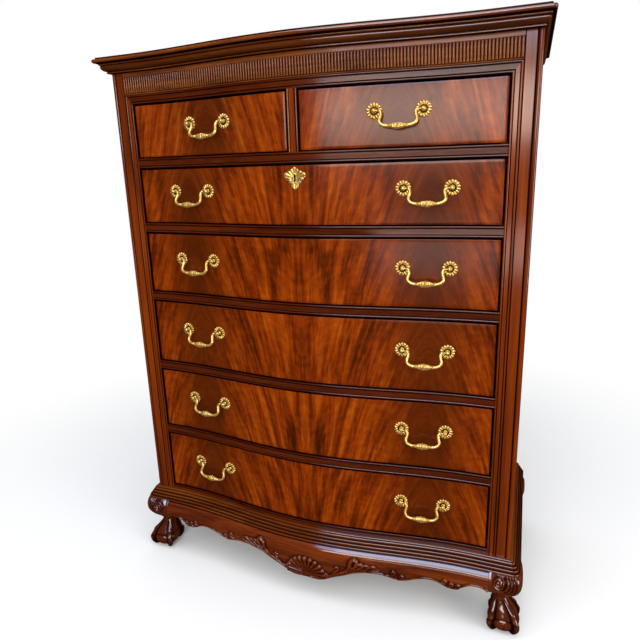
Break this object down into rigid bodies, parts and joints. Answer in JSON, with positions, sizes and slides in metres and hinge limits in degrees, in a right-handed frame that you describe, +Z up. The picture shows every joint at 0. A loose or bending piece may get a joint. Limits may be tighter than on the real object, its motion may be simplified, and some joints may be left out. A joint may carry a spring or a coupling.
{
  "type": "chest of drawers",
  "caption": "Tall chest of drawers with a serpentine front, sliding drawers with swinging bail pulls, a moulded cornice, a shell-carved apron and claw-and-ball feet.",
  "frame": {"origin": "on the floor under the centre of the whole part's bounding box", "axes": "+X to the viewer's right when facing the front, +Y towards the back, +Z up"},
  "size_m": [1.0514, 0.53, 1.357],
  "materials": {
    "mahogany": "dark red-brown stained mahogany under a glossy lacquer",
    "flame_veneer": "book-matched crotch mahogany veneer under a glossy lacquer",
    "box_wood": "plain pale secondary wood, sealed matte",
    "brass": "antiqued polished brass"
  },
  "bodies": {
    "case": {"face_frame": "mahogany", "left_side": "mahogany", "right_side": "mahogany", "back_panel": "box_wood", "bottom_board": "box_wood", "frieze_rail": "mahogany", "cornice_moulding": "mahogany", "top_board": "mahogany", "base_moulding": "mahogany", "front_apron": "mahogany", "left_apron": "mahogany", "right_apron": "mahogany", "front_left_foot": "mahogany", "front_right_foot": "mahogany", "rear_left_foot": "mahogany", "rear_right_foot": "mahogany"},
    "bottom_left_pull_bail_body": {"bottom_left_pull_bail": "brass"},
    "bottom_right_pull_bail_body": {"bottom_right_pull_bail": "brass"},
    "bottom_drawer_body": {"bottom_drawer": "flame_veneer", "bottom_left_pull_left_post": "brass", "bottom_left_pull_right_post": "brass", "bottom_right_pull_left_post": "brass", "bottom_right_pull_right_post": "brass"},
    "fifth_left_pull_bail_body": {"fifth_left_pull_bail": "brass"},
    "fifth_right_pull_bail_body": {"fifth_right_pull_bail": "brass"},
    "fifth_drawer_body": {"fifth_drawer": "flame_veneer", "fifth_left_pull_left_post": "brass", "fifth_left_pull_right_post": "brass", "fifth_right_pull_left_post": "brass", "fifth_right_pull_right_post": "brass"},
    "fourth_left_pull_bail_body": {"fourth_left_pull_bail": "brass"},
    "fourth_right_pull_bail_body": {"fourth_right_pull_bail": "brass"},
    "fourth_drawer_body": {"fourth_drawer": "flame_veneer", "fourth_left_pull_left_post": "brass", "fourth_left_pull_right_post": "brass", "fourth_right_pull_left_post": "brass", "fourth_right_pull_right_post": "brass"},
    "third_left_pull_bail_body": {"third_left_pull_bail": "brass"},
    "third_right_pull_bail_body": {"third_right_pull_bail": "brass"},
    "third_drawer_body": {"third_drawer": "flame_veneer", "third_left_pull_left_post": "brass", "third_left_pull_right_post": "brass", "third_right_pull_left_post": "brass", "third_right_pull_right_post": "brass"},
    "second_left_pull_bail_body": {"second_left_pull_bail": "brass"},
    "second_right_pull_bail_body": {"second_right_pull_bail": "brass"},
    "second_drawer_body": {"second_drawer": "flame_veneer", "second_left_pull_left_post": "brass", "second_left_pull_right_post": "brass", "second_right_pull_left_post": "brass", "second_right_pull_right_post": "brass", "escutcheon": "brass"},
    "top_left_pull_bail_body": {"top_left_pull_bail": "brass"},
    "top_left_drawer_body": {"top_left_drawer": "flame_veneer", "top_left_pull_left_post": "brass", "top_left_pull_right_post": "brass"},
    "top_right_pull_bail_body": {"top_right_pull_bail": "brass"},
    "top_right_drawer_body": {"top_right_drawer": "flame_veneer", "top_right_pull_left_post": "brass", "top_right_pull_right_post": "brass"}
  },
  "joints": [
    {"name": "bottom_drawer_slide", "type": "slide", "parent": "case", "child": "bottom_drawer_body", "axis": [0, -1, 0], "range_m": [0, 0.3]},
    {"name": "bottom_left_pull_bail_swing", "type": "hinge", "parent": "bottom_drawer_body", "child": "bottom_left_pull_bail_body", "pos_m": [-0.28702, -0.1979, 0.30106], "axis": [-0.9942, 0.1071, 0], "range_deg": [0, 95]},
    {"name": "bottom_right_pull_bail_swing", "type": "hinge", "parent": "bottom_drawer_body", "child": "bottom_right_pull_bail_body", "pos_m": [0.28702, -0.1979, 0.30106], "axis": [-0.9942, -0.1071, 0], "range_deg": [0, 95]},
    {"name": "fifth_drawer_slide", "type": "slide", "parent": "case", "child": "fifth_drawer_body", "axis": [0, -1, 0], "range_m": [0, 0.3]},
    {"name": "fifth_left_pull_bail_swing", "type": "hinge", "parent": "fifth_drawer_body", "child": "fifth_left_pull_bail_body", "pos_m": [-0.28702, -0.1979, 0.49321], "axis": [-0.9942, 0.1071, 0], "range_deg": [0, 95]},
    {"name": "fifth_right_pull_bail_swing", "type": "hinge", "parent": "fifth_drawer_body", "child": "fifth_right_pull_bail_body", "pos_m": [0.28702, -0.1979, 0.49321], "axis": [-0.9942, -0.1071, 0], "range_deg": [0, 95]},
    {"name": "fourth_drawer_slide", "type": "slide", "parent": "case", "child": "fourth_drawer_body", "axis": [0, -1, 0], "range_m": [0, 0.3]},
    {"name": "fourth_left_pull_bail_swing", "type": "hinge", "parent": "fourth_drawer_body", "child": "fourth_left_pull_bail_body", "pos_m": [-0.28702, -0.1979, 0.68734], "axis": [-0.9942, 0.1071, 0], "range_deg": [0, 95]},
    {"name": "fourth_right_pull_bail_swing", "type": "hinge", "parent": "fourth_drawer_body", "child": "fourth_right_pull_bail_body", "pos_m": [0.28702, -0.1979, 0.68734], "axis": [-0.9942, -0.1071, 0], "range_deg": [0, 95]},
    {"name": "third_drawer_slide", "type": "slide", "parent": "case", "child": "third_drawer_body", "axis": [0, -1, 0], "range_m": [0, 0.3]},
    {"name": "third_left_pull_bail_swing", "type": "hinge", "parent": "third_drawer_body", "child": "third_left_pull_bail_body", "pos_m": [-0.28702, -0.1979, 0.87369], "axis": [-0.9942, 0.1071, 0], "range_deg": [0, 95]},
    {"name": "third_right_pull_bail_swing", "type": "hinge", "parent": "third_drawer_body", "child": "third_right_pull_bail_body", "pos_m": [0.28702, -0.1979, 0.87369], "axis": [-0.9942, -0.1071, 0], "range_deg": [0, 95]},
    {"name": "second_drawer_slide", "type": "slide", "parent": "case", "child": "second_drawer_body", "axis": [0, -1, 0], "range_m": [0, 0.3]},
    {"name": "second_left_pull_bail_swing", "type": "hinge", "parent": "second_drawer_body", "child": "second_left_pull_bail_body", "pos_m": [-0.28702, -0.1979, 1.04214], "axis": [-0.9942, 0.1071, 0], "range_deg": [0, 95]},
    {"name": "second_right_pull_bail_swing", "type": "hinge", "parent": "second_drawer_body", "child": "second_right_pull_bail_body", "pos_m": [0.28702, -0.1979, 1.04214], "axis": [-0.9942, -0.1071, 0], "range_deg": [0, 95]},
    {"name": "top_left_drawer_slide", "type": "slide", "parent": "case", "child": "top_left_drawer_body", "axis": [0, -1, 0], "range_m": [0, 0.3]},
    {"name": "top_left_pull_bail_swing", "type": "hinge", "parent": "top_left_drawer_body", "child": "top_left_pull_bail_body", "pos_m": [-0.22719, -0.20475, 1.19756], "axis": [-0.9921, 0.1256, 0], "range_deg": [0, 95]},
    {"name": "top_right_drawer_slide", "type": "slide", "parent": "case", "child": "top_right_drawer_body", "axis": [0, -1, 0], "range_m": [0, 0.3]},
    {"name": "top_right_pull_bail_swing", "type": "hinge", "parent": "top_right_drawer_body", "child": "top_right_pull_bail_body", "pos_m": [0.22719, -0.20475, 1.19756], "axis": [-0.9921, -0.1256, 0], "range_deg": [0, 95]}
  ]
}
